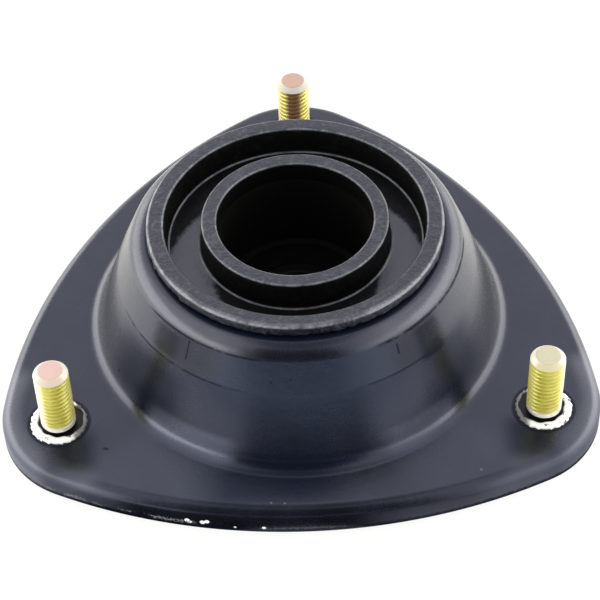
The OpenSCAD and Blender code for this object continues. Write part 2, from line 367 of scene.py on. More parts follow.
class Sheet:
    """A node tree that is written down as expressions."""

    def __init__(self, tree):
        self.tree = tree
        tree.nodes.clear()

    def plug(self, socket, value):
        """Links a socket to a value, or sets it to a constant."""
        if isinstance(value, Value):
            self.tree.links.new(value.socket, socket)
        else:
            socket.default_value = value

    def add(self, kind, settings, values, out=0):
        """A node by type, with its settings, then its sockets' values or links; gives one output."""
        node = self.tree.nodes.new(kind)
        for key, value in settings.items():
            setattr(node, key, value)
        for key, value in values.items():
            self.plug(node.inputs[key], value)
        return Value(self, node.outputs[out])

    def sum(self, operation, first, second):
        return self.add("ShaderNodeMath", {"operation": operation}, {0: first, 1: second})

    def mix(self, factor, first, second):
        """A colour between two colours."""
        pair = [c if isinstance(c, Value) else (*c, 1) for c in (first, second)]
        return self.add("ShaderNodeMix", {"data_type": "RGBA"}, {0: factor, 6: pair[0], 7: pair[1]}, 2)

    def layers(self, base, *coats):
        """A base colour under coats of (mask, colour), each laid over the one before."""
        for mask, colour in coats:
            base = self.mix(mask, base, colour)
        return base

    def place(self):
        """The piece's own coordinates, in metres."""
        return self.add("ShaderNodeTexCoord", {}, {}, "Object")

    def facing(self):
        """The three parts of the direction that a face looks in."""
        return self.axes(self.add("ShaderNodeTexCoord", {}, {}, "Normal"))

    def axes(self, vector):
        """The three parts of a vector."""
        node = self.add("ShaderNodeSeparateXYZ", {}, {0: vector}).socket.node
        return [Value(self, node.outputs[i]) for i in range(3)]

    def noise(self, scale, detail, rough, vector):
        """Noise with a grain of about 1 / scale metres."""
        return self.add(
            "ShaderNodeTexNoise", {},
            {"Vector": vector, "Scale": scale, "Detail": detail, "Roughness": rough}, "Fac")

    def bump(self, height, strength, distance):
        return self.add(
            "ShaderNodeBump", {}, {"Height": height, "Strength": strength, "Distance": distance})

    def surface(self, **values):
        """A Principled surface; names use _ for a space."""
        return self.add(
            "ShaderNodeBsdfPrincipled", {}, {key.replace("_", " "): value for key, value in values.items()})

    def blend(self, factor, first, second):
        """One surface where factor is 0, the other where it is 1."""
        return self.add("ShaderNodeMixShader", {}, {0: factor, 1: first, 2: second})

    def spots(self, place, table):
        """1 within the radius of each (centre, radius), falling to 0 at half as far again."""
        total = 0.0
        for centre, radius in table:
            away = self.add(
                "ShaderNodeVectorMath", {"operation": "DISTANCE"}, {0: place, 1: centre}, "Value")
            total = away.step(1.5 * radius, radius) + total
        return total

    def end(self, shader, kind="ShaderNodeOutputMaterial"):
        """Joins the last shader to the tree's output."""
        node = self.tree.nodes.new(kind)
        self.tree.links.new(shader.socket, node.inputs["Surface"])


def new_finish(name):
    """A new material and its empty sheet."""
    material = bpy.data.materials.new(name)
    material.use_nodes = True
    return material, Sheet(material.node_tree)


def shade(colour, share):
    """A colour made darker or paler."""
    return tuple(min(1.0, share * c) for c in colour)


def ground(sheet, **grains):
    """The piece's coordinates in metres, and noises by name from (scale, detail, roughness)."""
    place = sheet.place()
    across, along, height = sheet.axes(place)
    noises = {name: sheet.noise(*grain, place) for name, grain in grains.items()}
    return SimpleNamespace(place=place, across=across, along=along, height=height, **noises)


def flat_distance(aside, ahead):
    """Distance in plan from the point where both are 0."""
    return (aside * aside + ahead * ahead) ** 0.5


def from_corners(at, circle, angles):
    """For each direction in degrees: its angle, and the plan offsets from the point that far out."""
    for angle in np.radians(angles):
        yield angle, at.across - circle * math.cos(angle), at.along - circle * math.sin(angle)


# Heights read from the frame

CAD_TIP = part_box("studs")[1].z
SKIRT_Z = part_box("housing")[0].z
BELL_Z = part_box("housing")[1].z
RIM_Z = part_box("rubber_bush")[1].z
CUP_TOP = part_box("bearing_cup")[1].z


# Values that more than one piece or finish uses

CREASE_Z, DRAW_Z = 17.9 * MM, 25.5 * MM
NECK_LAND = 1.15 * MM
WARM = (1.0, 0.96, 0.82)


# Colours of wear and stains, and of painted shade, painted reflections and painted highlights

# Dark colour of the press lines, scratches and spots, and of the painted shade and painted reflections on
# the coat
DARK_MARK_AND_SHADE = (0.002, 0.004, 0.012)
COAT_GRAIN = (0.03, 0.033, 0.040)
COAT_CHIP = (0.86, 0.86, 0.85)
COAT_FLECK = (0.13, 0.13, 0.135)
# Painted highlights on the coat: the shoulder, the wall band, the bell's foot, the skirt and the front
# corners
COAT_SHOULDER_HIGHLIGHT = (0.050, 0.050, 0.052)
COAT_WALL_HIGHLIGHT = (0.017, 0.017, 0.018)
COAT_FOOT_HIGHLIGHT = (0.052, 0.060, 0.086)
COAT_SKIRT_HIGHLIGHT = (0.034, 0.039, 0.054)
COAT_CORNER_HIGHLIGHT = (0.075, 0.079, 0.094)
COAT_SCUFF = (0.16, 0.16, 0.165)
COAT_SHEEN = (0.70, 0.74, 1.0, 1)
RUBBER_MOTTLE = (0.026, 0.0275, 0.031)
RUBBER_PIT = (0.03, 0.032, 0.038)
RUBBER_SPECK = (0.06, 0.064, 0.072)
# Painted light on the lit part of the channel's floor
RUBBER_FLOOR_LIT = (0.046, 0.048, 0.053)
# Pale rubber edges, from wear and painted highlights
RUBBER_WORN_AND_LIT = (0.15, 0.155, 0.17)
# Near-black for the painted shade on the bush
RUBBER_SHADE = ((0.0006, 0.0006, 0.0007), (0.0016, 0.0016, 0.0018))
RUBBER_SHEEN = (0.74, 0.77, 1.0, 1)
# Painted reflections and highlights on the studs: the fronts, the inner and outer sides, and the chamfers'
# fronts
ZINC_FRONT_REFLECTION = (0.50, 0.44, 0.04)
ZINC_INNER_GLINT = (0.95, 0.90, 0.28)
ZINC_OUTER_HIGHLIGHT, ZINC_REAR_OUTER_HIGHLIGHT = (0.92, 0.87, 0.66), (0.60, 0.50, 0.20)
ZINC_CHAMFER_REFLECTION_LEFT, ZINC_CHAMFER_REFLECTION_RIGHT = (0.44, 0.35, 0.26), (0.42, 0.37, 0.17)
ZINC_PORE = (0.18, 0.08, 0.07)
ZINC_REAR_FACE = (0.30, 0.19, 0.14)
# Painted highlight on the studs' foot, and painted shade in the recess at the neck
ZINC_FOOT_HIGHLIGHT = (0.85, 0.82, 0.73)
FOOT_GAP_SHADE = (0.003, 0.003, 0.004)
STEEL_TEAR = (0.02, 0.02, 0.022)
STEEL_SHADE = (0.03, 0.03, 0.033)


# Press lines, scratches, painted reflections, spots, flecks and chips on the coat, with angles in degrees
# about the axis and the front at -90

# Height, half-width, first and last angle, weight
PRESS_LINES = (
    (DRAW_Z, 0.26 * MM, -143, -106, 0.95), (DRAW_Z, 0.36 * MM, -59, -6, 1.0),
    (CREASE_Z, 0.24 * MM, -156, -112, 0.8), (CREASE_Z, 0.24 * MM, -68, -46, 0.7),
)
# Angle, lowest and highest point, half-width as an angle in radians
SCRATCHES = (
    (-128.0, 20.6 * MM, 24.8 * MM, 0.005), (-56.4, 21.9 * MM, 24.0 * MM, 0.007),
)
# Painted reflections of the studs, dark streaks down the bell's front sides: angle, half-width as an angle,
# lowest and highest point, softness, weight
PAINTED_STUD_REFLECTIONS = (
    (-142, 14, 6.0 * MM, 13.0 * MM, 6.0 * MM, 0.75), (-137, 5, 19.5 * MM, 24.0 * MM, 1.0 * MM, 0.6),
    (-38, 11, 7.0 * MM, 15.0 * MM, 6.0 * MM, 0.65), (-44, 5, 17.5 * MM, 24.0 * MM, 1.5 * MM, 0.75),
)
# Painted reflections of the bell and the studs in the flange's top: place across and along, half-widths
# across and along, weight
PAINTED_FLANGE_REFLECTIONS = (
    (-8.0 * MM, -51.5 * MM, 14.0 * MM, 5.0 * MM, 0.65),
    (-52.4 * MM, -41.0 * MM, 5.5 * MM, 6.0 * MM, 0.75),
    (52.0 * MM, -40.2 * MM, 5.5 * MM, 5.5 * MM, 0.75),
)
# Centre and radius: dark spots, pale flecks, then chips down to the metal
SPOTS = (
    ((-0.0445, -0.0400, 0.0), 0.35 * MM), ((-0.0439, -0.0402, 0.0), 0.3 * MM),
    ((-0.0360, -0.0304, 0.0024), 0.35 * MM), ((-0.0417, -0.0205, 0.0042), 0.3 * MM),
    ((-0.0062, -0.0398, 0.0208), 0.3 * MM), ((-0.0018, -0.0399, 0.0216), 0.25 * MM),
)
FLECKS = (
    ((-0.0070, -0.05675, 0.0), 0.22 * MM), ((-0.0040, -0.0570, 0.0), 0.2 * MM),
    ((0.0398, -0.0492, 0.0), 0.25 * MM),
)
CHIPS = (
    ((-0.0258, -0.0573, -0.0047), 0.5 * MM), ((-0.0252, -0.0574, -0.0051), 0.35 * MM),
    ((-0.0224, -0.0579, -0.0048), 0.5 * MM), ((-0.0214, -0.0581, -0.0044), 0.45 * MM),
    ((-0.0152, -0.0590, -0.0056), 0.25 * MM), ((-0.0088, -0.0595, -0.0054), 0.38 * MM),
)


# Finishes

def coat_marks_and_shade(sheet, at, circle, rim):
    """Where the coat is dark: press lines, scratches and spots, painted reflections of the studs and the
    bell, and painted shade round the staked rings, along the bell's front foot, under the rim and along the
    skirt's lower edge.
    """
    blotch = 0.7 + at.cloud * 0.6
    dark_marks_and_shade = sheet.spots(at.place, SPOTS) * 0.7
    for line, half, start, end, weight in PRESS_LINES:
        pressed = at.height.near(line, half) * at.turn.sector(start, end, 7)
        dark_marks_and_shade = dark_marks_and_shade + pressed * at.streak.step(0.30, 0.52) * weight
    for angle, low, high, half in SCRATCHES:
        scratch = at.turn.near(math.radians(angle), half) * at.height.within(low, high, 0.4 * MM)
        dark_marks_and_shade = dark_marks_and_shade + scratch * 0.9
    # Painted reflections of the studs on the bell
    for angle, half, low, high, soft, weight in PAINTED_STUD_REFLECTIONS:
        stud_reflection = at.turn.near(math.radians(angle), math.radians(half)) * at.height.within(low, high, soft)
        dark_marks_and_shade = dark_marks_and_shade + stud_reflection * blotch * weight
    # Painted reflections of the bell and the studs in the flange
    for aside, ahead, wide, deep, weight in PAINTED_FLANGE_REFLECTIONS:
        patch = at.across.near(aside, wide) * at.along.near(ahead, deep)
        dark_marks_and_shade = dark_marks_and_shade + patch * blotch * weight
    # Painted shade: a dark band on the flange round each staked ring
    nearest = 1.0
    for _, aside, ahead in from_corners(at, circle, STUD_ANGLES):
        nearest = flat_distance(aside, ahead).least(nearest)
    above = at.height.step(-1.0 * MM, -0.5 * MM)
    ring_shadow = nearest.step(7.5 * MM, 7.1 * MM) * above * (0.5 + at.streak * 0.6)
    # Painted shade along the foot of the bell at the front
    foot = at.height.within(1.4 * MM, 3.0 * MM, 1.2 * MM) * at.turn.sector(-102, -76, 9) * 0.5
    # Painted shade in the hollow just outside the rim, reaching further out at the front
    out = flat_distance(at.across, at.along) - at.along.step(-16 * MM, -30 * MM) * (0.5 * MM)
    gap = out.step(rim + 0.7 * MM, rim + 0.3 * MM) * at.height.step(26 * MM, 27 * MM) * 0.78
    # Painted shade along the skirt's ragged lower edge
    edge = at.lower.step(1.5 * MM, 1.1 * MM)
    return (dark_marks_and_shade + ring_shadow + foot + gap).most(edge).least(1.0)


def coat_wear_and_highlights(sheet, at, skirt, corner_c):
    """Layers of pale wear and painted highlights on the coat, as (mask, colour), from the chips to the
    scuffs.
    """
    dapple = 0.5 + at.cloud * 0.6
    chips = (sheet.spots(at.place, CHIPS) - at.ragged * 0.7).step(0.05, 0.2)
    middle = at.turn.near(math.radians(-87), math.radians(22))
    beside = at.along.step(0.0, -20 * MM) * (1.0 - middle)
    # Painted highlight: the shoulder under the rim is paler on the bell's front sides
    shoulder = at.height.within(25.7 * MM, 28.2 * MM, 0.4 * MM) * dapple
    # Painted highlight: the wall band between the crease and the draw line is paler on the bell's front
    # sides
    wall = at.height.within(18.1 * MM, 25.4 * MM, 0.3 * MM) * (0.3 + at.cloud * 0.9) * 0.8
    # Painted highlight: paler patches low on the bell's front-left and front-right
    foot_highlight = at.turn.sector(-133, -113, 7).most(at.turn.sector(-62, -46, 7) * 0.6)
    foot_highlight = foot_highlight * at.height.within(1.4 * MM, 4.6 * MM, 2.0 * MM) * dapple
    # Painted highlight: the flange's two front corners pale towards their edge
    corner_highlight = 0.0
    for angle, aside, ahead in from_corners(at, corner_c, STUD_ANGLES[1:]):
        reach = flat_distance(aside, ahead)
        outward = aside * math.cos(angle) + ahead * math.sin(angle)
        corner_highlight = reach.step(16.5 * MM, 21 * MM) * (outward - reach * 0.4).step(0.0, 5 * MM) + corner_highlight
    fade = at.along.step(-28 * MM, -46 * MM) * (at.across.step(-10 * MM, 10 * MM) * 0.4 + 0.4)
    corner_highlight = corner_highlight * at.lower.step(3.5 * MM, 6.0 * MM) * (1.0 - fade)
    scuffs = at.turn.sector(-140, -114, 3) * at.lower.within(1.3 * MM, 2.1 * MM, 0.3 * MM)
    scuffs = scuffs * at.streak.step(0.45, 0.6) * at.grain.step(0.4, 0.55)
    return (
        (chips, COAT_CHIP), (sheet.spots(at.place, FLECKS) * 0.5, COAT_FLECK),
        (shoulder * beside, COAT_SHOULDER_HIGHLIGHT), (wall * beside, COAT_WALL_HIGHLIGHT), (foot_highlight, COAT_FOOT_HIGHLIGHT),
        (skirt * (0.6 + at.cloud * 0.5), COAT_SKIRT_HIGHLIGHT), (corner_highlight * (0.7 + at.cloud * 0.4), COAT_CORNER_HIGHLIGHT),
        (scuffs, COAT_SCUFF))


def black_coat():
    """Satin dip coat: slight orange peel, uneven sheen, dark press lines and scratches, painted shade and
    painted reflections, painted highlights, pale wear and chips low in front.
    """
    scene = bpy.context.scene
    flange, colour = scene.mount_flange, scene.mount_colours.coat
    material, sheet = new_finish("black_coat")
    at = ground(
        sheet, cloud=(90, 4, 0.6), grain=(2600, 2, 0.5), streak=(260, 3, 0.6),
        ragged=(1700, 2, 0.5), peel=(700, 2, 0.5))
    at.turn = sheet.sum("ARCTAN2", at.along, at.across)
    at.lower = at.height - SKIRT_Z + (at.ragged - 0.5) * (1.2 * MM)
    dark_marks_and_shade = coat_marks_and_shade(sheet, at, flange.stud_circle, bush_radii(scene.mount_bush)[3])
    # Painted highlight on the bend and skirt at the sides, which are also rougher
    skirt = at.height.step(-0.2 * MM, -1.4 * MM) * abs(at.across).step(36 * MM, 46 * MM) * (1.0 - dark_marks_and_shade)
    base = sheet.layers(
        sheet.mix(at.cloud.step(0.3, 0.7), shade(colour, 0.6), shade(colour, 1.5)),
        (at.grain.step(0.70, 0.80) * 0.3, COAT_GRAIN), (dark_marks_and_shade, DARK_MARK_AND_SHADE),
        *coat_wear_and_highlights(sheet, at, skirt, FlangeOutline(flange).corner_c))
    coat = sheet.surface(
        Base_Color=base, Roughness=0.20 + at.cloud * 0.08 + at.grain * 0.05 + skirt * 0.12,
        Normal=sheet.bump(at.peel + at.grain * 0.3, 0.06, 0.0004),
        Specular_IOR_Level=0.95, Specular_Tint=COAT_SHEEN)
    # Near-black matt skin where the coat has press lines, scratches and spots, and where shade and
    # reflections are painted
    mark_and_shade_skin = sheet.surface(
        Base_Color=(*DARK_MARK_AND_SHADE, 1), Roughness=0.8 + at.grain * 0.1, Specular_IOR_Level=0.05)
    sheet.end(sheet.blend(dark_marks_and_shade * 0.75, coat, mark_and_shade_skin))
    return material


def rubber_wear_and_highlights(at, radii, low):
    """Where the bush's edges are pale: its top edges, from wear and from a painted highlight that is
    stronger on the rim at the front and sides and weaker on the channel's front edge, and the corners of
    the channel's floor at height low, from a painted highlight.
    """
    bore, ring, channel, rim = radii
    top = 0.0
    for edge, half in ((bore + 0.15 * MM, 0.3 * MM), (ring - 0.15 * MM, 0.3 * MM),
                       (channel + 0.2 * MM, 0.3 * MM), (rim - 0.15 * MM, 0.35 * MM)):
        top = at.radius.near(edge, half) + top
    # Painted highlights: the channel's edge fainter at the front, the rim's edge brighter at the front and
    # at the sides
    top = top - at.radius.near(channel + 0.2 * MM, 0.3 * MM) * at.along.step(0.0, -10 * MM) * 0.8
    top = top + at.radius.near(rim - 0.5 * MM, 0.7 * MM) * at.along.step(-12 * MM, -26 * MM) * 0.8
    flanks = abs(at.across).step(10 * MM, 18 * MM) * at.along.step(16 * MM, 6 * MM)
    top = top + at.radius.near(rim - 0.1 * MM, 0.45 * MM) * flanks * 1.3
    top = top * at.height.step(RIM_Z - 0.6 * MM, RIM_Z - 0.3 * MM)
    # Painted highlight along the corners of the channel's floor
    corner = at.radius.near(ring + 0.75 * MM, 0.2 * MM) + at.radius.near(channel - 0.75 * MM, 0.2 * MM)
    return top, corner * at.height.step(low + 0.8 * MM, low + 0.5 * MM)


def rubber_floor_shadows(at, ring, channel):
    """Painted shadows on the channel's floor: one along its rear, cast by the rim, and one along its front,
    cast by the ring.
    """
    reach = flat_distance(at.across, at.along + 11.3 * MM) + (at.mottle - 0.5) * (2.0 * MM)
    rear = reach.step(channel - 1.0 * MM, channel + 0.4 * MM)
    return rear.most(reach.step(ring - 2.0 * MM, ring - 3.6 * MM) * at.along.step(0.0, -10 * MM))


def bush_rubber():
    """Moulded rubber: pitted, pale on its edges from wear and painted highlights, with painted light and
    painted shadows on the channel's floor and painted shade down the bore and on the channel's outer wall.
    """
    scene = bpy.context.scene
    colour = scene.mount_colours.rubber
    radii = bush_radii(scene.mount_bush)
    bore, ring, channel, _ = radii
    low = RIM_Z - scene.mount_bush.channel_depth
    material, sheet = new_finish("bush_rubber")
    at = ground(
        sheet, cloud=(140, 4, 0.6), pits=(1500, 3, 0.6), speck=(2300, 2, 0.6), mottle=(620, 3, 0.65),
        patchy=(300, 3, 0.6))
    at.radius = flat_distance(at.across, at.along)
    top, corner = rubber_wear_and_highlights(at, radii, low)
    floor = at.radius.within(ring + 0.3 * MM, channel - 0.3 * MM, 0.3 * MM)
    floor = floor * at.height.step(low + 1.2 * MM, low + 0.9 * MM)
    floor_shadow = rubber_floor_shadows(at, ring, channel) * floor
    broken = at.patchy.step(0.35, 0.65) * 0.75 + 0.25
    # Painted light on the lit part of the channel's floor, and pale edges from wear and painted highlights
    base = sheet.layers(
        sheet.mix(at.cloud.step(0.3, 0.75), shade(colour, 0.6), shade(colour, 1.6)),
        (at.mottle.step(0.5, 0.64) * 0.8, RUBBER_MOTTLE), (at.pits.step(0.58, 0.70) * 0.5, RUBBER_PIT),
        (at.speck.step(0.64, 0.74) * 0.6, RUBBER_SPECK), ((floor - floor_shadow) * 0.75, RUBBER_FLOOR_LIT),
        ((corner + top) * broken * (0.2 + at.pits * 0.9), RUBBER_WORN_AND_LIT))
    skin = sheet.surface(
        Base_Color=base, Roughness=0.20 + at.pits * 0.3,
        Normal=sheet.bump((at.pits + at.mottle) * (1.0 - floor * 0.7), 0.5, 0.0005),
        Specular_IOR_Level=0.95, Specular_Tint=RUBBER_SHEEN)
    # Near-black matt skin for painted shade
    shaded_skin = sheet.surface(
        Base_Color=sheet.mix(at.cloud, *RUBBER_SHADE), Roughness=0.6 + at.pits * 0.2,
        Specular_IOR_Level=0.06)
    # Painted shade down the bore, on the steep faces from the channel's outer wall outwards, and in the
    # floor's painted shadows, sparing the floor's corner highlights
    deep = at.radius.step(bore + 0.35 * MM, bore + 0.1 * MM)
    deep = deep * at.height.step(RIM_Z - 0.2 * MM, RIM_Z - 0.6 * MM)
    steep = sheet.facing()[2].step(0.75, 0.45) * at.height.step(low - MM, low)
    steep = steep * at.radius.step(channel + 0.6 * MM, channel + 0.3 * MM)
    floor_shadow = floor_shadow * (1.0 - corner.least(1.0) * 0.8) * (0.72 + at.mottle * 0.3)
    sheet.end(sheet.blend(deep.most(steep * 0.85).most(floor_shadow), skin, shaded_skin))
    return material


def yellow_zinc():
    """Yellow passivate, blushed pink or grey on the ends, with painted highlights on the sides, chamfers
    and foot, painted reflections on the fronts and on the rear stud, and painted shade at the neck.
    """
    colours = bpy.context.scene.mount_colours
    material, sheet = new_finish("yellow_zinc")
    at = ground(sheet, cloud=(420, 3, 0.6), fine=(2400, 2, 0.6))
    aside, forward, _ = sheet.facing()
    above = at.height.step(-1.0 * MM, -0.5 * MM)
    rear = at.along.step(40 * MM, 50 * MM) * above
    ahead = 1.0 - rear
    left, right = at.across.step(10 * MM, -10 * MM), at.across.step(-10 * MM, 10 * MM)
    # Painted highlights on the sides of each stud, chosen by the way its faces turn
    inner = (aside.step(0.45, 0.85) * left).most(aside.step(-0.45, -0.85) * right)
    outer = (aside.step(-0.35, -0.75) * left).most(aside.step(0.58, 0.92) * right)
    # The chamfer, which takes a painted highlight
    end = at.height.step(CAD_TIP - 1.35 * MM, CAD_TIP - 1.2 * MM)
    # Painted shade in the recess at each stud's neck, just above the flange
    foot = at.height.step(1.15 * MM, 1.0 * MM) * above
    face = sheet.layers(
        sheet.mix(at.across.step(20 * MM, 40 * MM), colours.zinc_pink, colours.zinc_grey),
        (at.fine.step(0.55, 0.75) * 0.25, ZINC_PORE), (rear * 0.6, ZINC_REAR_FACE))
    # Over the zinc lie painted reflections on the fronts and on the rear stud, painted highlights on the
    # sides, chamfers and foot, and painted shade at the neck; the ends keep their own colours
    base = sheet.layers(
        sheet.mix(at.cloud.step(0.3, 0.7), colours.zinc, shade(colours.zinc, 0.75)),
        (rear * abs(aside).step(0.60, 0.25), colours.zinc_rear_reflection),
        (forward.step(-0.6, -0.95) * ahead * (0.4 + at.fine * 0.5), ZINC_FRONT_REFLECTION),
        (inner * ahead * 0.75, ZINC_INNER_GLINT),
        (outer, sheet.mix(rear, ZINC_OUTER_HIGHLIGHT, ZINC_REAR_OUTER_HIGHLIGHT)),
        (end, sheet.mix(rear, colours.zinc_chamfer_highlight, shade(colours.zinc_chamfer_highlight, 0.62))),
        (end * forward.step(-0.25, -0.55) * ahead * 0.75,
         sheet.mix(right, ZINC_CHAMFER_REFLECTION_LEFT, ZINC_CHAMFER_REFLECTION_RIGHT)),
        (at.height.step(CAD_TIP - 0.12 * MM, CAD_TIP - 0.04 * MM), face),
        (at.height.step(2.8 * MM, 2.0 * MM) * above, ZINC_FOOT_HIGHLIGHT), (foot, FOOT_GAP_SHADE))
    plated = (1.0 - foot) * (1.0 - end)
    sheet.end(sheet.surface(
        Base_Color=base, Metallic=0.42 * plated, Roughness=0.30 + at.cloud * 0.12,
        Normal=sheet.bump(at.fine, 0.12, 0.0003), Coat_Weight=0.45 * plated, Coat_Roughness=0.25,
        Coat_IOR=2.2, Specular_IOR_Level=0.3))
    return material


def bare_steel():
    """Scraped bright steel, dark in its torn places, with painted shade on the inner sides of the front
    rings.
    """
    colour = bpy.context.scene.mount_colours.bare
    material, sheet = new_finish("bare_steel")
    at = ground(sheet, scrape=(1800, 3, 0.65), tear=(900, 2, 0.6))
    # Painted shade on the inner sides of the front rings, running into the torn places
    inner = abs(at.across).step(54 * MM, 49.5 * MM) * at.along.step(0.0, -10 * MM) + at.tear * 0.8
    base = sheet.layers(
        sheet.mix(at.scrape.step(0.3, 0.75), shade(colour, 0.85), colour),
        (at.tear.step(0.60, 0.68), STEEL_TEAR), (inner.step(0.75, 1.15) * 0.85, STEEL_SHADE))
    sheet.end(sheet.surface(
        Base_Color=base, Metallic=0.2, Roughness=0.25 + at.scrape * 0.2,
        Normal=sheet.bump(at.scrape, 0.3, 0.0004)))
    return material


def plain_finish(name, colour, metal, rough, gloss=0.5, below=None):
    """A clouded finish with a fine grain for an inner piece, and a colour for faces turned down."""
    material, sheet = new_finish(name)
    at = ground(sheet, cloud=(200, 3, 0.6), fine=(1600, 2, 0.5))
    base = sheet.mix(at.cloud, shade(colour, 0.75), shade(colour, 1.25))
    if below:
        base = sheet.mix(sheet.facing()[2].step(-0.2, -0.6) * (0.6 + at.cloud * 0.6), base, below)
    sheet.end(sheet.surface(
        Base_Color=base, Metallic=metal, Roughness=rough * 0.8 + at.cloud * 0.2 + at.fine * 0.08,
        Normal=sheet.bump(at.fine, 0.12, 0.0003), Specular_IOR_Level=gloss))
    return material


# Outlines that two pieces share

def bush_radii(bush):
    """Radii of the bore, ring, channel and rim, from the axis outwards."""
    ring = bush.bore + bush.ring
    channel = ring + bush.channel
    return bush.bore, ring, channel, channel + bush.rim


class FlangeOutline:
    """The rounded triangle as a radius for each direction, at any inset."""

    def __init__(self, flange):
        self.corner = flange.corner
        self.corner_c = flange.stud_circle + flange.stud_edge - flange.corner
        middle = self.corner_c / 2 + flange.corner + flange.side_bow
        self.far = (self.corner_c ** 2 - (self.corner_c / 2 + flange.side_bow) ** 2) / (2 * flange.side_bow)
        self.side = middle + self.far
        self.half = math.atan2(self.far * math.sin(math.pi / 3), self.corner_c + self.far / 2)
        self.towards = [Vector((math.cos(a), math.sin(a))) for a in np.radians(STUD_ANGLES)]

    @staticmethod
    def exit(ray, centre, radius):
        """How far along a ray from the axis it leaves a circle."""
        along = centre.dot(ray)
        return along + math.sqrt(radius ** 2 - centre.length_squared + along ** 2)

    def radius(self, angle, inset):
        """Distance from the axis to the outline, set in by inset."""
        ray = Vector((math.cos(angle), math.sin(angle)))
        reach = min(self.exit(ray, towards * self.far, self.side - inset) for towards in self.towards)
        edge = ray * reach
        for towards in self.towards:
            centre = towards * self.corner_c
            if (edge - centre).angle(towards, math.pi) < self.half:
                return self.exit(ray, centre, self.corner - inset)
        return reach


def stud_seats(flange):
    """Where the studs stand on the flange's top face."""
    circle = flange.stud_circle
    return [Vector((circle * math.cos(a), circle * math.sin(a), 0)) for a in np.radians(STUD_ANGLES)]


def bell_outline(bell, bush, set_in):
    """(radius, height) points from the flange up the bell's face to its top, set in from outside."""
    rim = bush_radii(bush)[3]
    slope = bell.slope
    top_c = (rim - 0.05 * MM, BELL_Z - bell.shoulder)
    base_r = top_c[0] + (bell.shoulder + top_c[1] * math.sin(slope)) / math.cos(slope)
    hollow_c = (base_r + bell.base_fillet * (1 - math.sin(slope)) / math.cos(slope), bell.base_fillet)
    tilt = math.degrees(slope)
    hollow = arc(hollow_c, bell.base_fillet + set_in, 270, 180 + tilt, 10)
    return hollow + arc(top_c, bell.shoulder - set_in, tilt, 90, 12)


# Operators

class MOUNT_OT_housing(Operator):
    """Builds the pressed flange and bell as one skin of sheet metal."""

    bl_idname = "mount.housing"
    bl_label = "Housing"

    sides: IntProperty(name="Sides", description="Points round the pressing", default=720)

    def execute(self, context):
        scene = context.scene
        flange, bell, bush = scene.mount_flange, scene.mount_bell, scene.mount_bush
        outline = FlangeOutline(flange)
        angles = full_turn(self.sides)
        neck = bush_radii(bush)[2] + NECK_LAND
        lip = 0.35 * MM
        inner_bend = flange.bend - flange.sheet

        def follow(inset, height):
            return ring_row(angles, np.array([outline.radius(a, inset) for a in angles]), height)

        outer = [(neck, BELL_Z - flange.sheet), (neck, BELL_Z)]
        outer += self.wall(bell_outline(bell, bush, 0), bell.swell)[::-1]
        rows = [ring_row(angles, r, z) for r, z in outer]
        for tilt in np.radians(np.linspace(0, 90, 10)):
            rows.append(follow(flange.bend * (1 - math.sin(tilt)), flange.bend * (math.cos(tilt) - 1)))
        for tilt in np.radians(np.linspace(0, 90, 5)):
            rows.append(follow(lip * (1 - math.cos(tilt)), SKIRT_Z + lip * (1 - math.sin(tilt))))
        for tilt in np.radians(np.linspace(0, 90, 5)):
            inset = flange.sheet - lip * (1 - math.sin(tilt))
            rows.append(follow(inset, SKIRT_Z + lip * (1 - math.cos(tilt))))
        for tilt in np.radians(np.linspace(90, 0, 7)):
            inset = flange.sheet + inner_bend * (1 - math.sin(tilt))
            rows.append(follow(inset, -flange.sheet + inner_bend * (math.cos(tilt) - 1)))
        rows += [ring_row(angles, r, z) for r, z in bell_outline(bell, bush, flange.sheet)]
        piece = closed_grid("housing_pressing", rows)
        self.pierce(piece, flange)
        settle(piece, black_coat(), ["housing"])
        return {"FINISHED"}

    @staticmethod
    def wall(points, swell):
        """The bell's outer points in close rows, with a faint crease where the second draw began."""
        foot, spacing = 3 * MM, 0.6 * MM
        cut = []
        for (r0, z0), (r1, z1) in zip(points, points[1:]):
            heights = np.linspace(z0, z1, max(2, int((z1 - z0) / spacing) + 1))[:-1]
            if z0 < CREASE_Z < z1:
                heights = np.sort(np.append(heights, [CREASE_Z, DRAW_Z]))
            for z in heights:
                out = np.interp(z, (foot, CREASE_Z, DRAW_Z), (0, swell, 0))
                cut.append((r0 + (r1 - r0) * (z - z0) / (z1 - z0) + out, z) if z1 > z0 else (r0, z0))
        return cut + points[-1:]

    @staticmethod
    def pierce(piece, flange):
        """Cuts the three stud holes through the flange."""
        cutters = []
        for seat in stud_seats(flange):
            bpy.ops.mesh.primitive_cylinder_add(
                vertices=64, radius=flange.hole, depth=4 * flange.sheet, location=seat)
            cutters.append(bpy.context.object)
        for cutter in cutters:
            cut = piece.modifiers.new("stud_hole", "BOOLEAN")
            cut.operation, cut.solver, cut.object = "DIFFERENCE", "EXACT", cutter
        graph = bpy.context.evaluated_depsgraph_get()
        pierced = bpy.data.meshes.new_from_object(piece.evaluated_get(graph))
        piece.modifiers.clear()
        piece.data = pierced
        for cutter in cutters:
            bpy.data.objects.remove(cutter)


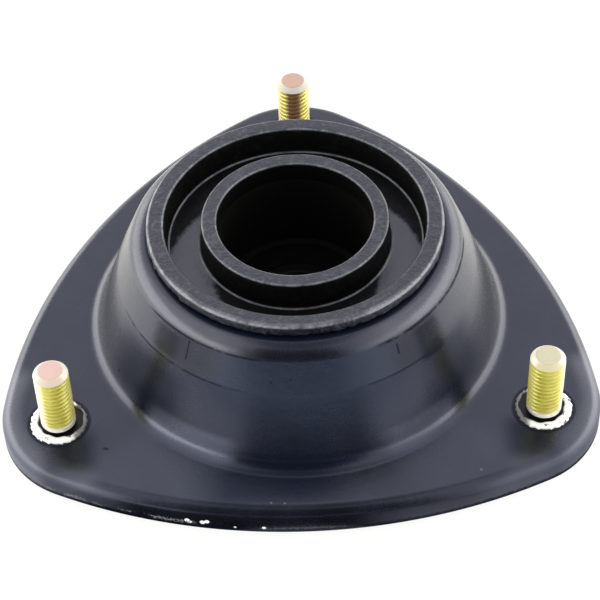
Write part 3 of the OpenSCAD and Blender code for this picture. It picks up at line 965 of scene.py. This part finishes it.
class MOUNT_OT_bush(Operator):
    """Builds the bonded rubber bush with its rim, channel, ring and lined bore."""

    bl_idname = "mount.bush"
    bl_label = "Rubber bush"

    sides: IntProperty(name="Sides", description="Points round the bush", default=384)

    def execute(self, context):
        scene = context.scene
        flange, bell, bush = scene.mount_flange, scene.mount_bell, scene.mount_bush
        under = BELL_Z + 0.7 * MM
        outline = self.crown(bush, flange.sheet, under) + self.hollow(bell, bush, flange.sheet)
        piece = self.moulded(spread(outline, 1.5 * MM), bush_radii(bush)[3], under)
        settle(piece, bush_rubber(), ["rubber_bush"])
        return {"FINISHED"}

    @staticmethod
    def crown(bush, sheet, under):
        """(radius, height) points from the bore over the ring, channel and rim down to the neck."""
        bore, ring, channel, rim = bush_radii(bush)
        floor = RIM_Z - bush.channel_depth
        neck = channel + NECK_LAND
        undercut, draft = 1 * MM, 0.4 * MM
        edge, soft, lip = 0.5 * MM, 0.8 * MM, 0.3 * MM
        return rounded([
            (bore, CUP_TOP, 0), (bore, RIM_Z, edge), (ring, RIM_Z, edge),
            (ring + draft, floor, soft), (channel - draft, floor, soft),
            (channel, RIM_Z, soft), (rim, RIM_Z, soft), (rim, under, lip),
            (rim - undercut, under, 0), (rim - undercut, BELL_Z, 0), (neck, BELL_Z, 0),
            (neck, BELL_Z - sheet, 0),
        ])

    def hollow(self, bell, bush, sheet):
        """(radius, height) points down the bell's inside, round the hollow below and up the cup."""
        inside = bell_outline(bell, bush, sheet)
        cup = bush_radii(bush)[1] - 1.5 * MM
        foot_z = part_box("outer_race")[0].z
        skin, skin_z = 5 * MM, 2.0 * MM
        leg, lean = cup + 6.5 * MM, 1 * MM
        top_z = RIM_Z - bush.channel_depth - 14 * MM
        run, half_z = math.tan(bell.slope), 0.5 * BELL_Z
        base_r = self.bell_radius(bell_outline(bell, bush, 0), half_z) + half_z * run
        wall = base_r - top_z * run - sheet / math.cos(bell.slope) - skin
        round_r = (wall - leg - lean) / 2
        points = [point for point in inside if point[1] > skin_z][::-1][1:]
        points += [(self.bell_radius(inside, skin_z), skin_z), (wall + (top_z - skin_z) * run, skin_z)]
        points += arc((leg + lean + round_r, top_z), round_r, 0, 180, 17)
        return points + [(leg + 0.15 * MM, foot_z), (cup, foot_z), (cup, CUP_TOP)]

    def moulded(self, outline, rim, under):
        """The turned bush with lumpy flash along the rim's lower edge."""
        angles = full_turn(self.sides)
        rough = np.random.RandomState(11).rand(2, self.sides)
        rough = (np.roll(rough, 1, 1) + 2 * rough + np.roll(rough, -1, 1)) / 4 - 0.5
        rows = []
        for r, z in outline:
            flash = r > rim - 0.5 * MM and z < under + 0.6 * MM
            out = 0.55 * MM * rough[0] if flash else 0.0
            up = 0.45 * MM * rough[1] if flash and z < under + 0.1 * MM else 0.0
            rows.append(ring_row(angles, r + out, z + up))
        return closed_grid("rubber_core", rows)

    @staticmethod
    def bell_radius(points, height):
        """The bell's radius at a height, read off its outline."""
        heights = [z for _, z in points]
        return float(np.interp(height, heights, [r for r, _ in points]))


class MOUNT_OT_studs(Operator):
    """Builds the three threaded studs and their bright staked rings."""

    bl_idname = "mount.studs"
    bl_label = "Studs"

    sides: IntProperty(name="Sides", description="Points round a stud", default=64)

    def execute(self, context):
        scene = context.scene
        flange, studs = scene.mount_flange, scene.mount_studs
        zinc, bare = yellow_zinc(), bare_steel()
        for name, angle, seat in zip(STUD_NAMES, np.radians(STUD_ANGLES), stud_seats(flange)):
            shank = self.shank(f"stud_{name}", flange, studs, angle)
            ring = self.stake(f"staked_ring_{name}", studs, angle)
            for piece, finish in ((shank, zinc), (ring, bare)):
                piece.data.transform(Matrix.Translation(seat))
                settle(piece, finish, ["studs"], sharp=50)
        return {"FINISHED"}

    def shank(self, name, flange, studs, turn):
        """One stud: round head, neck, threaded shank and chamfered end."""
        head_r, head_h, head_edge = 8.4 * MM, 2.6 * MM, 0.6 * MM
        relief, chamfer, point = 0.3 * MM, 1.2 * MM, 0.02 * MM
        low = -flange.sheet - head_h
        core, end = studs.radius - relief, studs.radius - chamfer
        thread_low, thread_high = 1.1 * MM, CAD_TIP - 0.15 * MM
        angles = full_turn(self.sides)
        outline = [(point, low)]
        outline += arc((head_r - head_edge, low + head_edge), head_edge, 270, 360, 5)
        outline += [(head_r, -flange.sheet), (flange.hole, -flange.sheet), (flange.hole, 0.0)]
        outline += [(core, 0.0), (core, 0.95 * MM)]
        rows = [ring_row(angles, r, z) for r, z in outline]
        for z in np.arange(thread_low, thread_high, studs.pitch / 12):
            phase = (z / studs.pitch - angles / (2 * math.pi) - turn) % 1.0
            groove = np.clip(1.25 - np.abs(phase - 0.5) * 4.0, 0, 1)
            groove = groove * groove * (3 - 2 * groove)
            fade = min(1.0, (z - thread_low) / studs.pitch)
            radius = studs.radius - studs.depth * groove * fade
            rows.append(ring_row(angles, np.minimum(radius, end + (CAD_TIP - z)), z))
        rows += [ring_row(angles, r, CAD_TIP) for r in (end, end - 0.25 * MM, 1.2 * MM, point)]
        return closed_grid(name, rows)

    @staticmethod
    def stake(name, studs, turn):
        """The ragged ring of bare metal that was staked round one stud's foot."""
        angles = full_turn(studs.teeth * 12)
        # Waves round the ring, their share and their shift
        waves = ((studs.teeth, 0.4, 0.0), (17, 0.25, 1.3), (41, 0.25, 2.1), (5, 0.25, 0.4))
        ragged = sum(
            size * (0.5 + 0.5 * np.sin(wave * angles + shift + 2.7 * turn)) for wave, size, shift in waves)
        outer = studs.stake - 0.5 * MM * ragged / sum(size for _, size, _ in waves)
        inwards = 0.5 - 0.5 * np.cos(angles - math.atan2(math.sin(turn) - 0.8, math.cos(turn)))
        inner = studs.radius + 0.35 * MM + 1.55 * MM * inwards + 0.15 * MM * np.sin(9 * angles + turn)
        height = 0.55 * MM
        # Share of the way from the inner edge to the outer one, and share of the height
        section = (
            (1.0, 0.0), (1.0, 0.5), (0.92, 0.85), (0.75, 1.0),
            (0.3, 1.0), (0.1, 0.8), (0.0, 0.4), (0.0, 0.0))
        rows = [ring_row(angles, inner + (outer - inner) * share, up * height) for share, up in section]
        return closed_grid(name, rows)


class MOUNT_OT_bearing(Operator):
    """Gives the cup, the bearing's pieces and the retaining ring their finishes."""

    bl_idname = "mount.bearing"
    bl_label = "Bearing"

    def execute(self, context):
        black = (0.003, 0.003, 0.003)
        # The bearing steel is near-black as painted shade down the bore; faces turned down keep a steel
        # grey
        steel = plain_finish(
            "bearing_steel", (0.012, 0.012, 0.013), metal=0.8, rough=0.5, gloss=0.2,
            below=(0.22, 0.22, 0.23))
        seal = plain_finish("seal_rubber", black, metal=0.0, rough=0.6, gloss=0.06)
        cage = plain_finish("cage_steel", (0.50, 0.48, 0.44), metal=1.0, rough=0.35)
        ball = plain_finish("ball_steel", (0.75, 0.75, 0.77), metal=1.0, rough=0.12)
        cup = plain_finish("cup_coat", black, metal=0.0, rough=0.6, gloss=0.08)
        spring = plain_finish("spring_steel", (0.008, 0.008, 0.008), metal=0.4, rough=0.6, gloss=0.1)
        finishes = {
            "bearing_cup": cup, "retaining_ring": spring,
            "outer_race": steel, "inner_race": steel,
            "upper_seal": seal, "lower_seal": seal,
            "cage_upper": cage, "cage_lower": cage, "cage_rivets": cage,
        }
        for name, node in frame["nodes"].items():
            finish = ball if name.startswith("ball_") else finishes.get(name)
            if finish is None:
                continue
            node.data.materials.clear()
            node.data.materials.append(finish)
        return {"FINISHED"}


class MOUNT_OT_stage(Operator):
    """Sets the floor, the light and the camera."""

    bl_idname = "mount.stage"
    bl_label = "Stage"

    def execute(self, context):
        self.floor()
        self.world(context.scene)
        self.lights()
        self.card()
        self.strip("left_strip", -75, -42, 4.2)
        self.strip("right_strip", 42, 70, 2.2)
        self.camera(context.scene)
        context.scene.view_settings.view_transform = "Standard"
        return {"FINISHED"}

    @staticmethod
    def seen(sheet, direct, mirrored):
        """One share for rays from the camera, another for those from a glossy surface or glass."""
        node = sheet.add("ShaderNodeLightPath", {}, {}).socket.node
        camera, glossy, through = [
            Value(sheet, node.outputs[key]) for key in
            ("Is Camera Ray", "Is Glossy Ray", "Is Transmission Ray")]
        return (camera * direct).most(glossy.most(through) * mirrored)

    def floor(self):
        """A plain pale floor that takes the shadow."""
        half = 3.0
        corners = [(x * half, y * half, SKIRT_Z) for x, y in ((-1, -1), (1, -1), (1, 1), (-1, 1))]
        floor = new_piece("studio_floor", corners, [(0, 1, 2, 3)])
        material, sheet = new_finish("studio_floor")
        matt = sheet.add("ShaderNodeBsdfDiffuse", {}, {"Color": (0.86, 0.86, 0.86, 1)})
        white = sheet.add("ShaderNodeEmission", {}, {"Color": (1, 1, 1, 1), "Strength": 1.0})
        sheet.end(sheet.blend(self.seen(sheet, 0.85, 0.0), matt, white))
        floor.data.materials.append(material)

    def world(self, scene):
        """White to the camera, dim in reflections but for a patch overhead."""
        scene.world = bpy.data.worlds.new("studio")
        scene.world.use_nodes = True
        sheet = Sheet(scene.world.node_tree)
        across, along, up = sheet.axes(sheet.add("ShaderNodeTexCoord", {}, {}, "Generated"))
        overhead = up.step(0.84, 0.95) * along.step(0.35, 0.1) * abs(across).step(0.32, 0.12)
        strength = 1.15 - self.seen(sheet, 0.15, 0.05 + overhead * 0.95)
        sheet.end(
            sheet.add("ShaderNodeBackground", {}, {"Color": (1, 1, 1, 1), "Strength": strength}),
            "ShaderNodeOutputWorld")

    @staticmethod
    def lights():
        """Two large boxes at the rear sides and two small fills that reflections leave out."""
        # Name, place, target, width, height, power
        lamps = (
            ("left_box", (-1.05, 0.36, 0.36), (0, 0, 0), 2.2, 0.75, 15.0),
            ("right_box", (1.05, 0.36, 0.36), (0, 0, 0), 2.2, 0.75, 14.0),
            ("left_fill", (-0.30, 0.04, 0.30), (-0.12, 0.04, 0), 0.35, 0.35, 0.6),
            ("right_fill", (0.30, 0.04, 0.30), (0.12, 0.04, 0), 0.35, 0.35, 0.6),
        )
        for name, place, target, width, height, power in lamps:
            data = bpy.data.lights.new(name, "AREA")
            data.shape, data.size, data.size_y, data.energy = "RECTANGLE", width, height, power
            data.color = WARM
            lamp = bpy.data.objects.new(name, data)
            lamp.location = place
            lamp.rotation_euler = (Vector(target) - Vector(place)).to_track_quat("-Z", "Y").to_euler()
            lamp.visible_glossy = name.endswith("box")
            bpy.context.scene.collection.objects.link(lamp)

    def card(self):
        """A card, dark but for glowing bands, standing round the front and lying at the sides, seen only in
        reflections.
        """
        points, faces = [], []
        turns = np.radians(np.linspace(-78, 78, 53))
        low = SKIRT_Z + 0.1 * MM
        wall = [(0.061, low), (0.6, low), (0.9, 0.0)] + arc((0.0, 0.0), 0.9, 6, 62, 8)
        for turn in turns:
            stands = math.radians(-30) <= turn <= math.radians(26)
            points += [
                (out * math.sin(turn), -out * math.cos(turn), z if stands else low) for out, z in wall]
        for i in range(len(turns) - 1):
            for k in range(len(wall) - 1):
                first = i * len(wall) + k
                faces.append((first, first + 1, first + 1 + len(wall), first + len(wall)))
        material, sheet = new_finish("front_card")
        at = ground(sheet)
        reach = flat_distance(at.across, at.along)
        turn = sheet.sum("ARCTAN2", at.across, at.along * -1.0)
        dark, white, sky = (0.02, 0.02, 0.024), (1.3, 1.3, 1.35), (1.08, 1.28, 1.52)
        skirt = sheet.layers(
            dark, (turn.step(math.radians(8), math.radians(26)), (0.55, 0.55, 0.58)),
            (turn.step(math.radians(-40), math.radians(-58)), (1.2, 1.2, 1.25)))
        glow = sheet.layers(
            dark, (reach.within(0.18, 0.42, 0.04), sky),
            (1.0 - turn.sector(-40, 44, 10), (0.34, 0.36, 0.40)),
            (reach.within(0.088, 0.12, 0.015) * (1.0 - turn.sector(-17, 24, 11)), white),
            (reach.step(0.085, 0.078), skirt))
        sheet.end(sheet.add("ShaderNodeEmission", {}, {"Color": glow, "Strength": 1.0}))
        self.mirrored_only(new_piece("front_card", points, faces), material)

    def strip(self, name, start, end, glow):
        """A bright upright strip beside the front card, seen only in reflections."""
        turns = np.radians(np.linspace(start, end, 8))
        points = [(math.sin(t), -math.cos(t), z) for t in turns for z in (0.05, 0.45)]
        faces = [(2 * i, 2 * i + 1, 2 * i + 3, 2 * i + 2) for i in range(len(turns) - 1)]
        material, sheet = new_finish(name)
        sheet.end(sheet.add("ShaderNodeEmission", {}, {"Color": (*WARM, 1), "Strength": glow}))
        self.mirrored_only(new_piece(name, points, faces), material)

    @staticmethod
    def mirrored_only(piece, material):
        """Stages a piece that only reflections show."""
        piece.data.materials.append(material)
        for kind in ("camera", "diffuse", "transmission", "volume_scatter", "shadow"):
            setattr(piece, "visible_" + kind, False)

    @staticmethod
    def camera(scene):
        """The camera that stands where the photo was taken."""
        stage = scene.mount_stage
        turn = Matrix.Rotation(stage.azimuth, 3, "Z")
        place = turn @ (Vector((0, -math.cos(stage.elevation), math.sin(stage.elevation))) * stage.distance)
        ahead = turn @ Vector((
            math.sin(stage.pan) * math.cos(stage.pitch),
            math.cos(stage.pan) * math.cos(stage.pitch),
            -math.sin(stage.pitch)))
        right = ahead.cross(Vector((0, 0, 1))).normalized()
        up = right.cross(ahead)
        rolled = right * math.cos(stage.roll) + up * math.sin(stage.roll)
        upright = -right * math.sin(stage.roll) + up * math.cos(stage.roll)
        data = bpy.data.cameras.new("photo_camera")
        data.sensor_fit, data.sensor_width, data.lens = "HORIZONTAL", 36.0, stage.lens
        data.clip_start, data.clip_end = 0.01, 20.0
        camera = bpy.data.objects.new("photo_camera", data)
        turned = Matrix((rolled, upright, -ahead)).transposed()
        camera.matrix_world = Matrix.Translation(place) @ turned.to_4x4()
        scene.collection.objects.link(camera)
        scene.camera = camera


class MOUNT_PT_panel(Panel):
    """Lists the mount's settings and operators."""

    bl_idname = "MOUNT_PT_panel"
    bl_label = "Strut mount"
    bl_space_type = "VIEW_3D"
    bl_region_type = "UI"
    bl_category = "Strut mount"

    def draw(self, context):
        for key, group in SETTINGS.items():
            box = self.layout.box()
            box.label(text=group.__doc__)
            settings = getattr(context.scene, key)
            for name in group.__annotations__:
                box.prop(settings, name)
        for step in STEPS:
            self.layout.operator(step.bl_idname)


STEPS = (MOUNT_OT_stage, MOUNT_OT_housing, MOUNT_OT_bush, MOUNT_OT_studs, MOUNT_OT_bearing)
CLASSES = (*SETTINGS.values(), *STEPS, MOUNT_PT_panel)


def register():
    for cls in CLASSES:
        bpy.utils.register_class(cls)
    for key, group in SETTINGS.items():
        setattr(bpy.types.Scene, key, PointerProperty(type=group))


def unregister():
    for key in SETTINGS:
        delattr(bpy.types.Scene, key)
    for cls in reversed(CLASSES):
        bpy.utils.unregister_class(cls)


def main():
    register()
    bpy.ops.mount.stage()
    bpy.ops.mount.housing()
    bpy.ops.mount.bush()
    bpy.ops.mount.studs()
    bpy.ops.mount.bearing()


if __name__ == "__main__":
    main()
